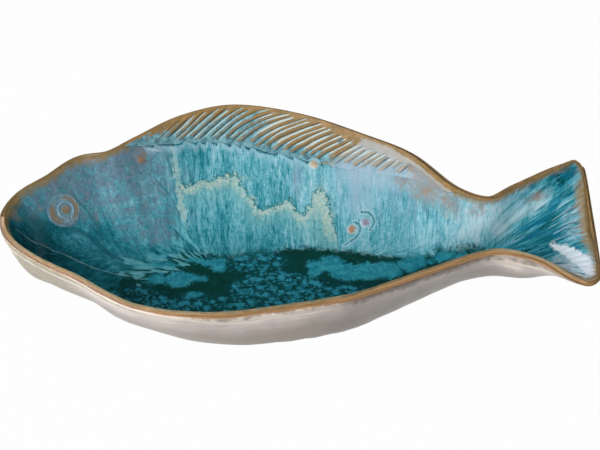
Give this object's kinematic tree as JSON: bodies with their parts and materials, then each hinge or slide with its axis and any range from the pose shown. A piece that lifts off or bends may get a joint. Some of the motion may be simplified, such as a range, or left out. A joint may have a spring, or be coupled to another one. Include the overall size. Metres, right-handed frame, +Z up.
{
  "type": "fish-shaped bowl",
  "caption": "Fish-shaped stoneware serving bowl with a deep belly, a ribbed back fin as its high rim, a flared tail, reactive blue glaze and a flat bare foot.",
  "frame": {"origin": "on the table, at the middle of the flat foot", "axes": "+X from the snout to the tail, +Y from the belly to the back fin, +Z up out of the bowl"},
  "size_m": [0.4195, 0.1962, 0.0646],
  "materials": {
    "stoneware_body": "fired stoneware, iron brown where it is bare at the rim, the fin and the foot",
    "inner_glaze": "opaque glossy reactive glaze, turquoise to dark green",
    "outer_glaze": "opaque semi-gloss cream glaze",
    "eye": "opaque glaze that breaks to brown on the ring and the pupil",
    "nape_pip": "opaque glaze broken to brown",
    "back_pip": "opaque glaze broken to brown",
    "flank_pip_front": "opaque glaze broken to brown",
    "flank_pip_rear": "opaque glaze broken to brown"
  },
  "bodies": {
    "root": {"stoneware_body": "stoneware_body", "inner_glaze": "inner_glaze", "outer_glaze": "outer_glaze", "eye": "eye", "nape_pip": "nape_pip", "back_pip": "back_pip", "flank_pip_front": "flank_pip_front", "flank_pip_rear": "flank_pip_rear"}
  },
  "joints": []
}
